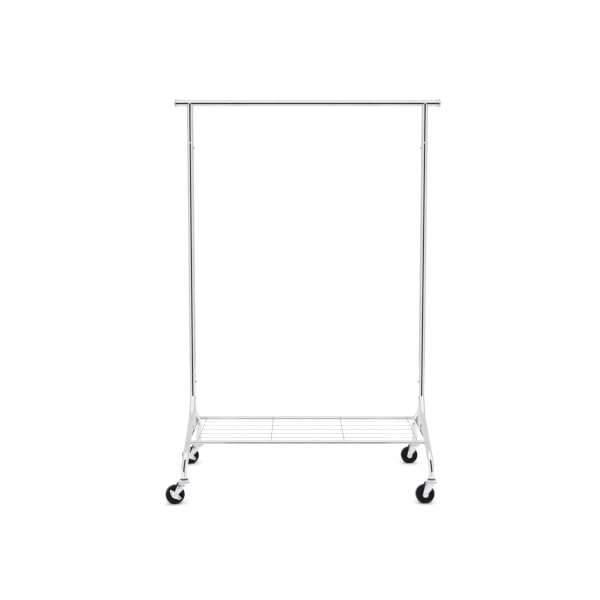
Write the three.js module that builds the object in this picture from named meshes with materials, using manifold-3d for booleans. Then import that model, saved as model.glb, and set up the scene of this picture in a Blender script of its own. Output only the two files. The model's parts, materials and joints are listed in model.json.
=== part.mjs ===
// A rolling clothes rack, in millimetres.
// +Z is up and the floor is z = 0. +X runs to the right along the hang bar, and the front is -Y.
// The origin is on the floor, in the middle between the four legs.
import * as THREE from 'three';
import { mergeVertices } from 'three/addons/utils/BufferGeometryUtils.js';
import Module from 'manifold-3d';

const wasm = await Module();
wasm.setup();

// Driving dimensions
const GAP = 0.3; // space left between pieces that touch
const TUBE_R = 12.7; // one-inch tube: hang bar, uprights, posts and legs
const TUBE_WALL = 1.2;
const BORE_R = TUBE_R - TUBE_WALL;
const BAR_Z = 1585; // centre line of the hang bar
const BAR_HALF = 542; // middle of the bar to the outer face of an end cap
const POST_X = 480; // centre line of the uprights
const UPPER_SEAM_Z = 1426; // the bar's stub enters the upright
const LOWER_SEAM_Z = 461; // the upright enters the base post
const BUTTON_BELOW_UPPER_SEAM = 23;
const BUTTON_BELOW_LOWER_SEAM = 31;
const NECK_LENGTH = 66; // reduced end that slides into the next tube
const FRAME_Z = 224; // centre line of the side bars and the shelf rails
const SIDE_BAR_R = 9.5;
const RAIL_R = 8;
const THIN_WALL = 1;
const RAIL_Y = 190;
const FOOT_Y = 260; // reach of each leg's vertical foot from its post
const FOOT_OUT = 8; // the feet stand this much wider than the posts
const LEG_BOTTOM_Z = 100;
const WIRE_R = 2;
const CROSS_WIRE_X = [-440, -147, 147, 440];
const LONG_WIRE_COUNT = 5;
const LONG_WIRE_PITCH = 62;
const WHEEL_R = 38.1; // three-inch wheel
const WHEEL_SIDES = 24;

// The braked casters are on the left and reach further back than the plain ones.
// trail is from the swivel axis to the axle, and turn is the rest angle.
const SIDES = [
  { name: 'left', sign: -1, braked: true, trail: 36, turn: THREE.MathUtils.degToRad(15) },
  { name: 'right', sign: 1, braked: false, trail: 25, turn: THREE.MathUtils.degToRad(3) },
];
const ENDS = [{ name: 'front', sign: -1 }, { name: 'rear', sign: 1 }];

// Smoothness of the round shapes
const TUBE_SIDES = 16;
const SMALL_SIDES = 12;
const WIRE_SIDES = 8;
const CURVE_STEPS = 6; // per arc of an outline; a full circle gets twice as many

// Sizes worked out from the driving dimensions
const NECK_R = BORE_R - GAP;
const NECK_BORE_R = NECK_R - TUBE_WALL;
const AXLE_Z = WHEEL_R * Math.cos(Math.PI / WHEEL_SIDES); // the wheel stands on a flat of its tread
const CROSS_WIRE_Z = FRAME_Z + 5;
const LONG_WIRE_Z = CROSS_WIRE_Z - 2 * WIRE_R - GAP;

// Finishes
function finish(color, roughness, metalness) {
  return () => new THREE.MeshStandardMaterial({ color, roughness, metalness });
}
const chrome = finish(0xd9dbde, 0.08, 1);
const zinc = finish(0xb9bcc0, 0.3, 1);
const springSteel = finish(0x8d8f92, 0.35, 1);
const rubber = finish(0x111112, 0.6, 0);
const nylon = finish(0x2a2a2c, 0.5, 0);

// Solids: a geometry becomes a manifold so that it can be cut or joined, and goes back again
function toSolid(geometry) {
  const bare = geometry.clone();
  bare.deleteAttribute('normal');
  bare.deleteAttribute('uv');
  const merged = mergeVertices(bare, 1e-4);
  const index = merged.index.array;
  const corners = [];
  for (let i = 0; i < index.length; i += 3) {
    const [a, b, c] = [index[i], index[i + 1], index[i + 2]];
    if (a !== b && b !== c && c !== a) corners.push(a, b, c);
  }
  return new wasm.Manifold(new wasm.Mesh({
    numProp: 3,
    vertProperties: new Float32Array(merged.attributes.position.array),
    triVerts: new Uint32Array(corners),
  }));
}

function toGeometry(solid) {
  const mesh = solid.getMesh();
  const geometry = new THREE.BufferGeometry();
  geometry.setAttribute('position', new THREE.BufferAttribute(mesh.vertProperties, 3));
  geometry.setIndex(new THREE.BufferAttribute(mesh.triVerts, 1));
  return geometry;
}

function cut(body, ...tools) {
  return toGeometry(tools.reduce((left, tool) => left.subtract(toSolid(tool)), toSolid(body)));
}

function join(...bodies) {
  return toGeometry(bodies.map(toSolid).reduce((whole, body) => whole.add(body)));
}

// A turned shape about Z from [radius, height] points
function turned(profile, sides) {
  const points = profile.map(([radius, height]) => new THREE.Vector2(radius, height));
  return new THREE.LatheGeometry(points, sides).rotateX(Math.PI / 2);
}

// A hollow turned shape: the outline closes on itself
function turnedRing(profile, sides) {
  return turned([...profile, profile[0]], sides);
}

// A straight tube along Z, standing on z = 0
function tube(outer, inner, length, sides) {
  return turnedRing([[inner, 0], [outer, 0], [outer, length], [inner, length]], sides);
}

// A plain rod along Z, standing on z = 0
function rod(radius, length, sides) {
  return turned([[0, 0], [radius, 0], [radius, length], [0, length]], sides);
}

const alongX = (geometry) => geometry.rotateY(Math.PI / 2);
const alongY = (geometry) => geometry.rotateX(-Math.PI / 2);

const rack = new THREE.Group();

function addPiece(parent, name, geometry, makeMaterial, x = 0, y = 0, z = 0) {
  const mesh = new THREE.Mesh(geometry, makeMaterial());
  mesh.name = name;
  mesh.position.set(x, y, z);
  parent.add(mesh);
  return mesh;
}

// Snap buttons and the springs that carry them
const BUTTON_R = 4;
const BUTTON_HOLE_R = BUTTON_R + 0.35;
const BUTTON_PROUD = 4.8; // how far the button stands out of the tube
const SPRING_T = 0.8;
const SPRING_W = 8;
const ARM_X = 8.4; // outer face of each spring arm, from the tube's axis
const LIVE_ARM_DROP = 30;
const SPRING_DROP = 44;

// Button hole through one wall of a tube, on the +X side
function buttonHole(z) {
  return alongX(rod(BUTTON_HOLE_R, 2 * TUBE_R, SMALL_SIDES)).translate(0, 0, z);
}

function snapButton() {
  const tip = TUBE_R + BUTTON_PROUD;
  const dome = 1.6;
  const peg = turned([
    [0, ARM_X - SPRING_T / 2],
    [BUTTON_R, ARM_X - SPRING_T / 2],
    [BUTTON_R, tip - dome],
    [BUTTON_R * 0.82, tip - dome * 0.4],
    [BUTTON_R * 0.45, tip],
    [0, tip],
  ], SMALL_SIDES);
  const arm = new THREE.BoxGeometry(SPRING_T, SPRING_W, LIVE_ARM_DROP + SPRING_W / 2);
  arm.translate(ARM_X - SPRING_T / 2, 0, (SPRING_W / 2 - LIVE_ARM_DROP) / 2);
  return join(alongX(peg), arm);
}

// The still half of the spring: a back arm, and the bend that leads up to the live arm
function snapSpring() {
  const bendR = ARM_X - 1;
  const outline = new THREE.Shape();
  outline.moveTo(-ARM_X, SPRING_W / 2);
  outline.absarc(-ARM_X + bendR, -SPRING_DROP + bendR, bendR, Math.PI, 2 * Math.PI, false);
  outline.lineTo(-ARM_X + 2 * bendR, -LIVE_ARM_DROP - GAP);
  outline.lineTo(-ARM_X + 2 * bendR - SPRING_T, -LIVE_ARM_DROP - GAP);
  outline.absarc(-ARM_X + bendR, -SPRING_DROP + bendR, bendR - SPRING_T, 2 * Math.PI, Math.PI, true);
  outline.lineTo(-ARM_X + SPRING_T, SPRING_W / 2);
  const strip = new THREE.ExtrudeGeometry(outline, {
    depth: SPRING_W, bevelEnabled: false, curveSegments: CURVE_STEPS / 2,
  });
  return strip.translate(0, 0, -SPRING_W / 2).rotateX(Math.PI / 2);
}

function addSnapJoint(side, level, z) {
  const group = new THREE.Group();
  group.position.set(side.sign * POST_X, 0, z);
  group.rotation.z = side.sign < 0 ? 0 : Math.PI;
  rack.add(group);
  addPiece(group, `snap_button_${level}_${side.name}`, snapButton(), springSteel);
  addPiece(group, `snap_spring_${level}_${side.name}`, snapSpring(), springSteel);
}

// A tube of full size whose lower end is necked down to slide into the next tube
function neckedTube(topZ, seamZ) {
  const shoulder = 3;
  return turnedRing([
    [NECK_BORE_R, seamZ - NECK_LENGTH],
    [NECK_R, seamZ - NECK_LENGTH],
    [NECK_R, seamZ + GAP],
    [TUBE_R, seamZ + GAP],
    [TUBE_R, topZ],
    [BORE_R, topZ],
    [BORE_R, seamZ + GAP + 2 * shoulder],
    [NECK_BORE_R, seamZ + GAP + shoulder],
  ], TUBE_SIDES);
}

// Hang bar and its end caps
const CAP_FLANGE_R = 16.5;
const CAP_FLANGE_T = 5;
const CAP_SLEEVE_R = 14.2;
const CAP_SLEEVE_LENGTH = 16;
const BAR_TUBE_HALF = BAR_HALF - CAP_FLANGE_T + 2 - GAP;

function hangBar() {
  return alongX(tube(TUBE_R, BORE_R, 2 * BAR_TUBE_HALF, TUBE_SIDES)).translate(-BAR_TUBE_HALF, 0, 0);
}

// The cap slides over the bar's end; its outer face is at x = 0 here and it opens towards -X
function barEndCap() {
  const edge = 1.2;
  return alongX(turned([
    [0, -2],
    [TUBE_R + GAP, -2],
    [TUBE_R + GAP, -CAP_SLEEVE_LENGTH],
    [CAP_SLEEVE_R, -CAP_SLEEVE_LENGTH],
    [CAP_SLEEVE_R, -CAP_FLANGE_T],
    [CAP_FLANGE_R - edge, -CAP_FLANGE_T],
    [CAP_FLANGE_R, -CAP_FLANGE_T + edge],
    [CAP_FLANGE_R, -edge],
    [CAP_FLANGE_R - edge, 0],
    [0, 0],
  ], TUBE_SIDES));
}

// The stub welded under the bar: its top is coped round the bar, its lower end is necked
function barStub() {
  const bar = alongX(rod(TUBE_R + GAP, 4 * TUBE_R, TUBE_SIDES)).translate(-2 * TUBE_R, 0, BAR_Z);
  const buttonZ = UPPER_SEAM_Z - BUTTON_BELOW_UPPER_SEAM;
  return cut(neckedTube(BAR_Z, UPPER_SEAM_Z), bar, buttonHole(buttonZ));
}

function upright() {
  const upperButtonZ = UPPER_SEAM_Z - BUTTON_BELOW_UPPER_SEAM;
  const lowerButtonZ = LOWER_SEAM_Z - BUTTON_BELOW_LOWER_SEAM;
  return cut(neckedTube(UPPER_SEAM_Z, LOWER_SEAM_Z), buttonHole(upperButtonZ), buttonHole(lowerButtonZ));
}

// The base post: it takes the upright from above, and its foot is coped over the side bar
function basePost() {
  const bottomZ = FRAME_Z + 5;
  const body = tube(TUBE_R, BORE_R, LOWER_SEAM_Z - bottomZ, TUBE_SIDES).translate(0, 0, bottomZ);
  const bar = alongY(rod(SIDE_BAR_R + GAP, 4 * TUBE_R, SMALL_SIDES));
  bar.translate(0, -2 * TUBE_R, FRAME_Z);
  return cut(body, bar, buttonHole(LOWER_SEAM_Z - BUTTON_BELOW_LOWER_SEAM));
}

// A leg runs out and down from the post, sweeps flatter, and bends down to a nearly vertical foot
// that eases outwards to its caster. Each lean is an angle from the vertical.
const LEG_START = { out: 2, z: 364 };
const UPPER_LEAN = THREE.MathUtils.degToRad(33);
const UPPER_RUN = 59;
const SWEEP_R = 100;
const LOWER_LEAN = THREE.MathUtils.degToRad(64);
const KNEE_R = 45;
const FOOT_LEAN = THREE.MathUtils.degToRad(6);
const FOOT_RUN = 35;
const ANKLE_R = 60;
const EASE_TOP_Z = 206; // the foot starts to ease outwards here
const EASE_BOTTOM_Z = 126;
const LEG_STEPS = 24;
const BEND_STEPS = 6;

// Centre line of a rear leg; outward is the direction along X in which its foot eases
function legPath(outward) {
  const points = [new THREE.Vector3(0, LEG_START.out, LEG_START.z)];
  const straight = (lean, length, steps) => {
    const step = new THREE.Vector3(0, Math.sin(lean), -Math.cos(lean)).multiplyScalar(length / steps);
    for (let i = 0; i < steps; i += 1) points.push(points.at(-1).clone().add(step));
  };
  const bend = (from, to, radius) => {
    const half = (to - from) / (2 * BEND_STEPS);
    for (let i = 0; i < BEND_STEPS; i += 1) {
      straight(from + (2 * i + 1) * half, 2 * radius * Math.sin(Math.abs(half)), 1);
    }
  };
  straight(UPPER_LEAN, UPPER_RUN, 1);
  bend(UPPER_LEAN, LOWER_LEAN, SWEEP_R);
  const kneeReach = KNEE_R * (Math.cos(FOOT_LEAN) - Math.cos(LOWER_LEAN));
  const footReach = FOOT_RUN * Math.sin(FOOT_LEAN) + ANKLE_R * (1 - Math.cos(FOOT_LEAN));
  const lowerReach = FOOT_Y - footReach - kneeReach - points.at(-1).y;
  straight(LOWER_LEAN, lowerReach / Math.sin(LOWER_LEAN), BEND_STEPS);
  bend(LOWER_LEAN, FOOT_LEAN, KNEE_R);
  straight(FOOT_LEAN, FOOT_RUN, BEND_STEPS);
  bend(FOOT_LEAN, 0, ANKLE_R);
  straight(0, points.at(-1).z - LEG_BOTTOM_Z, 1);
  for (const point of points) {
    const eased = 1 - THREE.MathUtils.smoothstep(point.z, EASE_BOTTOM_Z, EASE_TOP_Z);
    point.x = outward * FOOT_OUT * eased;
  }
  const path = new THREE.CurvePath();
  for (let i = 1; i < points.length; i += 1) path.add(new THREE.LineCurve3(points[i - 1], points[i]));
  return path;
}

// A rear leg beside a post at x = 0. inner is zero for a filled leg.
function bentLeg(outer, inner, outward) {
  const outline = new THREE.Shape();
  outline.absarc(0, 0, outer, 0, 2 * Math.PI);
  if (inner > 0) {
    const bore = new THREE.Path();
    bore.absarc(0, 0, inner, 0, 2 * Math.PI, true);
    outline.holes.push(bore);
  }
  return new THREE.ExtrudeGeometry(outline, {
    steps: LEG_STEPS, curveSegments: CURVE_STEPS, extrudePath: legPath(outward),
  });
}

// The front legs are rear legs turned half round, so their outward side is the other one
function leg(side, end) {
  const post = rod(TUBE_R + GAP, LEG_START.z, TUBE_SIDES).translate(0, 0, LEG_BOTTOM_Z);
  return cut(bentLeg(TUBE_R, BORE_R, side.sign * end.sign), post);
}

// The four filled legs, grown by the gap, in the rack's own place: tools for coping the bars
function legTools() {
  return SIDES.flatMap((side) => ENDS.map((end) => {
    const tool = bentLeg(TUBE_R + GAP, 0, side.sign * end.sign);
    if (end.sign < 0) tool.rotateZ(Math.PI);
    return tool.translate(side.sign * POST_X, 0, 0);
  }));
}

function sideBar(side) {
  const half = RAIL_Y - RAIL_R - GAP;
  const bar = alongY(tube(SIDE_BAR_R, SIDE_BAR_R - THIN_WALL, 2 * half, SMALL_SIDES));
  bar.translate(side.sign * POST_X, -half, FRAME_Z);
  return coped(bar);
}

function shelfRail(end) {
  const half = POST_X + TUBE_R / 2;
  const rail = alongX(tube(RAIL_R, RAIL_R - THIN_WALL, 2 * half, SMALL_SIDES));
  rail.translate(-half, end.sign * RAIL_Y, FRAME_Z);
  return coped(rail);
}

// Cut a bar against the four legs and keep the stretch between them
function coped(bar) {
  const parts = legTools().reduce((left, tool) => left.subtract(toSolid(tool)), toSolid(bar)).decompose();
  const longest = parts.sort((a, b) => b.volume() - a.volume())[0];
  return toGeometry(longest);
}

function addFrame() {
  addPiece(rack, 'hang_bar', hangBar(), chrome, 0, 0, BAR_Z);
  for (const side of SIDES) {
    const x = side.sign * POST_X;
    const turn = side.sign < 0 ? 0 : Math.PI; // the button holes face the middle of the rack
    addPiece(rack, `bar_stub_${side.name}`, barStub(), chrome, x).rotation.z = turn;
    addPiece(rack, `upright_${side.name}`, upright(), chrome, x).rotation.z = turn;
    addPiece(rack, `base_post_${side.name}`, basePost(), chrome, x).rotation.z = turn;
    const capX = side.sign * BAR_HALF;
    const cap = addPiece(rack, `bar_end_cap_${side.name}`, barEndCap(), chrome, capX, 0, BAR_Z);
    cap.rotation.z = side.sign < 0 ? Math.PI : 0;
    addSnapJoint(side, 'upper', UPPER_SEAM_Z - BUTTON_BELOW_UPPER_SEAM);
    addSnapJoint(side, 'lower', LOWER_SEAM_Z - BUTTON_BELOW_LOWER_SEAM);
    addPiece(rack, `side_bar_${side.name}`, sideBar(side), chrome);
    for (const end of ENDS) {
      const piece = addPiece(rack, `leg_${end.name}_${side.name}`, leg(side, end), chrome, x);
      piece.rotation.z = end.sign < 0 ? Math.PI : 0;
    }
  }
}

// Wire shelf
function addShelf() {
  for (const end of ENDS) addPiece(rack, `shelf_rail_${end.name}`, shelfRail(end), chrome);
  const crossHalf = RAIL_Y - RAIL_R;
  CROSS_WIRE_X.forEach((x, i) => {
    const wire = alongY(rod(WIRE_R, 2 * crossHalf, WIRE_SIDES)).translate(0, -crossHalf, 0);
    addPiece(rack, `shelf_cross_wire_${i + 1}`, wire, chrome, x, 0, CROSS_WIRE_Z);
  });
  const longHalf = CROSS_WIRE_X.at(-1) + 2 * WIRE_R;
  for (let i = 0; i < LONG_WIRE_COUNT; i += 1) {
    const wire = alongX(rod(WIRE_R, 2 * longHalf, WIRE_SIDES)).translate(-longHalf, 0, 0);
    const y = (i - (LONG_WIRE_COUNT - 1) / 2) * LONG_WIRE_PITCH;
    addPiece(rack, `shelf_long_wire_${i + 1}`, wire, chrome, 0, y, LONG_WIRE_Z);
  }
}

// Casters. Each is drawn with its swivel axis on z, its wheel trailing towards -X.
const STEM_R = 5.5;
const KINGPIN_R = 4;
const SOCKET_R = BORE_R - 1;
const SOCKET_FLANGE_R = 13.6;
const SOCKET_FLANGE_T = 3;
const SOCKET_TOP_Z = LEG_BOTTOM_Z + 25;
const RACE_TOP_Z = LEG_BOTTOM_Z - SOCKET_FLANGE_T - 2 * GAP;
const RACE_R = 20;
const RACE_BOTTOM_Z = 87.5;
const BALL_R = 2.8;
const BALL_CIRCLE_R = 13;
const CROWN_TOP_Z = 86.5;
const CROWN_T = 2.2;
const CROWN_R = 23;
const RIVET_R = 7.5;
const PLATE_T = 2.2;
const PLATE_IN_Y = 14.6; // inner face of a fork plate, from the wheel's middle
const PLATE_OUT_Y = PLATE_IN_Y + PLATE_T;
const BOSS_R = 10.5;
const AXLE_R = 4;
const AXLE_HEAD_R = 7;
const AXLE_HEAD_T = 3.2;
const HUB_R = 10.5;
const HUB_HALF = 13.8;
const TREAD_HALF = 12;
const LEVER_T = 2;

function casterSocket() {
  const bottom = LEG_BOTTOM_Z - GAP;
  return turnedRing([
    [STEM_R + GAP, bottom - SOCKET_FLANGE_T],
    [SOCKET_FLANGE_R, bottom - SOCKET_FLANGE_T],
    [SOCKET_FLANGE_R, bottom],
    [SOCKET_R, bottom],
    [SOCKET_R, SOCKET_TOP_Z],
    [STEM_R + GAP, SOCKET_TOP_Z],
  ], TUBE_SIDES);
}

// The stem, the upper race that flares from it, and the kingpin whose riveted end holds the fork
function casterStem() {
  const rivetTop = CROWN_TOP_Z - CROWN_T - GAP;
  return turned([
    [0, rivetTop - 3],
    [RIVET_R - 1.5, rivetTop - 3],
    [RIVET_R, rivetTop - 1.5],
    [RIVET_R, rivetTop],
    [KINGPIN_R, rivetTop],
    [KINGPIN_R, RACE_TOP_Z - 2.4],
    [RACE_R - 2, RACE_TOP_Z - 3.4],
    [RACE_R - 1.6, RACE_BOTTOM_Z],
    [RACE_R, RACE_BOTTOM_Z],
    [RACE_R, RACE_TOP_Z - 2],
    [RACE_R - 2, RACE_TOP_Z],
    [STEM_R, RACE_TOP_Z],
    [STEM_R, SOCKET_TOP_Z - 1.5],
    [STEM_R - 1.5, SOCKET_TOP_Z],
    [0, SOCKET_TOP_Z],
  ], SMALL_SIDES);
}

// The ring of balls between the races, as one ring of their size
function ballRing() {
  const centreZ = CROWN_TOP_Z + GAP + BALL_R;
  const profile = [];
  const points = 6;
  for (let i = 0; i < points; i += 1) {
    const angle = (2 * Math.PI * (i + 0.5)) / points;
    profile.push([BALL_CIRCLE_R + BALL_R * Math.cos(angle), centreZ + BALL_R * Math.sin(angle)]);
  }
  return turnedRing(profile, SMALL_SIDES);
}

// Side view of a fork plate: wide under the crown, narrowing to a round boss at the axle
const PLATE_FRONT = { x: 12, drop: 9 }; // end of the front edge, below the plate's top
const PLATE_BACK_X = -19;
const PLATE_SHOULDER = { x: -27, drop: 12 };
const BOSS_FROM = Math.PI - 0.1; // the boss is round between these two angles
const BOSS_TO = 2 * Math.PI + 0.45;

function forkPlateOutline(trail) {
  const shape = new THREE.Shape();
  const topZ = CROWN_TOP_Z - CROWN_T + 1; // the plates run up into the crown
  shape.moveTo(PLATE_FRONT.x, topZ);
  shape.lineTo(PLATE_BACK_X, topZ);
  shape.lineTo(PLATE_SHOULDER.x, topZ - PLATE_SHOULDER.drop);
  shape.absarc(-trail, AXLE_Z, BOSS_R, BOSS_FROM, BOSS_TO, false);
  shape.lineTo(PLATE_FRONT.x, topZ - PLATE_FRONT.drop);
  const hole = new THREE.Path();
  hole.absarc(-trail, AXLE_Z, AXLE_R + GAP, 0, 2 * Math.PI, true);
  shape.holes.push(hole);
  return shape;
}

// A plate drawn in the XZ plane, between y = from and y = from + thickness
function uprightPlate(shape, from, thickness) {
  const plate = new THREE.ExtrudeGeometry(shape, {
    depth: thickness, bevelEnabled: false, curveSegments: CURVE_STEPS,
  });
  return plate.rotateX(Math.PI / 2).translate(0, from + thickness, 0);
}

function casterFork(trail) {
  const crown = turnedRing([
    [KINGPIN_R + GAP, CROWN_TOP_Z - CROWN_T],
    [CROWN_R - 1.6, CROWN_TOP_Z - CROWN_T],
    [CROWN_R - 1.6, CROWN_TOP_Z - 6],
    [CROWN_R, CROWN_TOP_Z - 6],
    [CROWN_R, CROWN_TOP_Z - 2.5],
    [CROWN_R - 3, CROWN_TOP_Z],
    [KINGPIN_R + GAP, CROWN_TOP_Z],
  ], SMALL_SIDES);
  const outline = forkPlateOutline(trail);
  const near = uprightPlate(outline, -PLATE_OUT_Y, PLATE_T);
  const far = uprightPlate(outline, PLATE_IN_Y, PLATE_T);
  return join(crown, near, far);
}

// The wheel is turned about Y: a raised hub, flat side walls and a chamfered tread
function casterWheel() {
  const profile = [
    [AXLE_R + GAP, -HUB_HALF],
    [HUB_R, -HUB_HALF],
    [HUB_R + 1.5, -TREAD_HALF],
    [WHEEL_R - 2.6, -TREAD_HALF],
    [WHEEL_R, -TREAD_HALF + 3.5],
  ];
  const mirrored = profile.map(([radius, y]) => [radius, -y]).reverse();
  const points = [...profile, ...mirrored, profile[0]].map(([radius, y]) => new THREE.Vector2(radius, y));
  return new THREE.LatheGeometry(points, WHEEL_SIDES).rotateY(Math.PI / WHEEL_SIDES);
}

// Axle bolt with a head at each end; its near end is longer where it also carries a brake lever
function casterAxle(braked) {
  const near = PLATE_OUT_Y + GAP + (braked ? LEVER_T + GAP : 0);
  const far = PLATE_OUT_Y + GAP;
  return alongY(turned([
    [0, -near - AXLE_HEAD_T],
    [AXLE_HEAD_R - 1, -near - AXLE_HEAD_T],
    [AXLE_HEAD_R, -near - AXLE_HEAD_T + 1],
    [AXLE_HEAD_R, -near],
    [AXLE_R, -near],
    [AXLE_R, far],
    [AXLE_HEAD_R, far],
    [AXLE_HEAD_R, far + AXLE_HEAD_T - 1],
    [AXLE_HEAD_R - 1, far + AXLE_HEAD_T],
    [0, far + AXLE_HEAD_T],
  ], SMALL_SIDES));
}

// Brake lever: a pressed leaf-shaped plate on the axle outside the near fork plate, with a pedal
// lip at its low end. Its outline and holes are [x, z] from the axle.
const LEVER_OUTLINE = [[-22, 16], [-12, -7], [14, -17], [22, -11], [5, 10], [-21, 26]];
const LEVER_HOLES = [[-15, 15], [14, -9]];
const LEVER_HOLE_R = 2.2;
const PEDAL_LIP = 7; // how far the pedal stands out from the plate
const PEDAL_LENGTH = 8;
const PEDAL_MIDDLE = [17.5, -13.2];
const PEDAL_TILT = THREE.MathUtils.degToRad(37);

function brakeLever() {
  const shape = new THREE.Shape(LEVER_OUTLINE.map(([x, z]) => new THREE.Vector2(x, z)));
  const round = (x, z, radius) => {
    const hole = new THREE.Path();
    hole.absarc(x, z, radius, 0, 2 * Math.PI, true);
    shape.holes.push(hole);
  };
  round(0, 0, AXLE_R + GAP);
  for (const [x, z] of LEVER_HOLES) round(x, z, LEVER_HOLE_R);
  const plate = uprightPlate(shape, -LEVER_T, LEVER_T);
  const lip = new THREE.BoxGeometry(PEDAL_LENGTH, PEDAL_LIP, LEVER_T).rotateY(-PEDAL_TILT);
  lip.translate(PEDAL_MIDDLE[0], -PEDAL_LIP / 2, PEDAL_MIDDLE[1]);
  return join(plate, lip);
}

function addCaster(side, end) {
  const label = `caster_${end.name}_${side.name}`;
  const swivel = new THREE.Group();
  swivel.position.set(side.sign * (POST_X + FOOT_OUT), end.sign * FOOT_Y, 0);
  rack.add(swivel);
  addPiece(swivel, `${label}_socket`, casterSocket(), nylon);
  addPiece(swivel, `${label}_stem`, casterStem(), zinc);
  const turning = new THREE.Group();
  turning.rotation.z = side.turn;
  swivel.add(turning);
  addPiece(turning, `${label}_balls`, ballRing(), zinc);
  addPiece(turning, `${label}_fork`, casterFork(side.trail), zinc);
  addPiece(turning, `${label}_axle`, casterAxle(side.braked), zinc, -side.trail, 0, AXLE_Z);
  addPiece(turning, `${label}_wheel`, casterWheel(), rubber, -side.trail, 0, AXLE_Z);
  if (side.braked) {
    const y = -PLATE_OUT_Y - GAP;
    addPiece(turning, `${label}_brake_lever`, brakeLever(), zinc, -side.trail, y, AXLE_Z);
  }
}

function addCasters() {
  for (const side of SIDES) {
    for (const end of ENDS) addCaster(side, end);
  }
}

addFrame();
addShelf();
addCasters();

export default rack;
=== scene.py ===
# The rolling clothes rack: smooth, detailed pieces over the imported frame.
# +Z is up, +X runs along the hang bar and the front is -Y. Shapes are drawn in millimetres and
# scaled to metres when they become objects.
import json
import math
import random
from collections import namedtuple

import bmesh
import bpy
from mathutils import Matrix, Vector


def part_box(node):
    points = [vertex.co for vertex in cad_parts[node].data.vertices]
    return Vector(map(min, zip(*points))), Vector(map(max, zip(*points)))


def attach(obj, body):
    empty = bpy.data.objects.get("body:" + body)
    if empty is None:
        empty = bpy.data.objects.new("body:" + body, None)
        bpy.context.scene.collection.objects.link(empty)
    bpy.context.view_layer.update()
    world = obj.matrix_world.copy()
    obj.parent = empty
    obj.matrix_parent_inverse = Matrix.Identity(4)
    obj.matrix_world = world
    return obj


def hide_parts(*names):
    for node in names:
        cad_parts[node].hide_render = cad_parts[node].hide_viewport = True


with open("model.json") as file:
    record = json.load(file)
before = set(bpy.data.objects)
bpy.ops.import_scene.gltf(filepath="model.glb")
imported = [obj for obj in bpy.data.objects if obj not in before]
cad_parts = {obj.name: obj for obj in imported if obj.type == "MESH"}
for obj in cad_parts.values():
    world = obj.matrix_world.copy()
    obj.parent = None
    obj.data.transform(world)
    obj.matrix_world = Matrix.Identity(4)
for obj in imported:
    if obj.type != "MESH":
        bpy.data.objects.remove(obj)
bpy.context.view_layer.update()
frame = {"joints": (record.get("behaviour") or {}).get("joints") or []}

MM = 0.001
TAU = 2 * math.pi
SIDES = {"left": -1, "right": 1}
ENDS = {"front": -1, "rear": 1}
ROOT = "frame"
JOINTS = {joint["name"]: joint for joint in frame["joints"]}


# ---- Sizes, in millimetres -------------------------------------------------------------------

def node_box(node):
    low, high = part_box(node)
    return low / MM, high / MM


bar_low, bar_high = node_box("hang_bar")
TUBE_R = (bar_high.z - bar_low.z) / 2
BAR_Z = (bar_high.z + bar_low.z) / 2
BAR_HALF = bar_high.x
TUBE_WALL = 1.2
BORE_R = TUBE_R - TUBE_WALL

upright_low, upright_high = node_box("upright_right")
post_low, post_high = node_box("base_post_right")
POST_X = (upright_low.x + upright_high.x) / 2
STUB_BOTTOM_Z = node_box("bar_stub_right")[0].z
UPPER_SEAM_Z = upright_high.z
LOWER_SEAM_Z = post_high.z
SEAM_GAP = 0.3
SEAM_ROUND = 1.8
NECK_R = BORE_R - 0.3
NECK_BORE_R = NECK_R - TUBE_WALL
BUTTON_R = 4.0
BUTTON_HOLE_R = 4.35

rail_low, rail_high = node_box("shelf_rail_rear")
side_bar_low, side_bar_high = node_box("side_bar_right")
FRAME_Z = (rail_high.z + rail_low.z) / 2
RAIL_R = (rail_high.z - rail_low.z) / 2
RAIL_Y = rail_high.y - RAIL_R
SIDE_BAR_R = (side_bar_high.x - side_bar_low.x) / 2
THIN_WALL = 1.0
WIRE_R = 2.0

# The legs' path, as in the frame: a lean is an angle from the vertical
LEG_START_OUT = 2.0
LEG_START_Z = 364.0
UPPER_LEAN = math.radians(33)
UPPER_RUN = 59.0
SWEEP_R = 100.0
LOWER_LEAN = math.radians(64)
KNEE_R = 45.0
FOOT_LEAN = math.radians(6)
FOOT_RUN = 35.0
ANKLE_R = 60.0
FOOT_REACH = 260.0
FOOT_OUT = 8.0
EASE_TOP_Z = 206.0
EASE_BOTTOM_Z = 126.0
LEG_BOTTOM_Z = node_box("leg_front_left")[0].z

TUBE_SIDES = 56
THIN_SIDES = 36
WIRE_SIDES = 16


# ---- Materials -------------------------------------------------------------------------------

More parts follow.
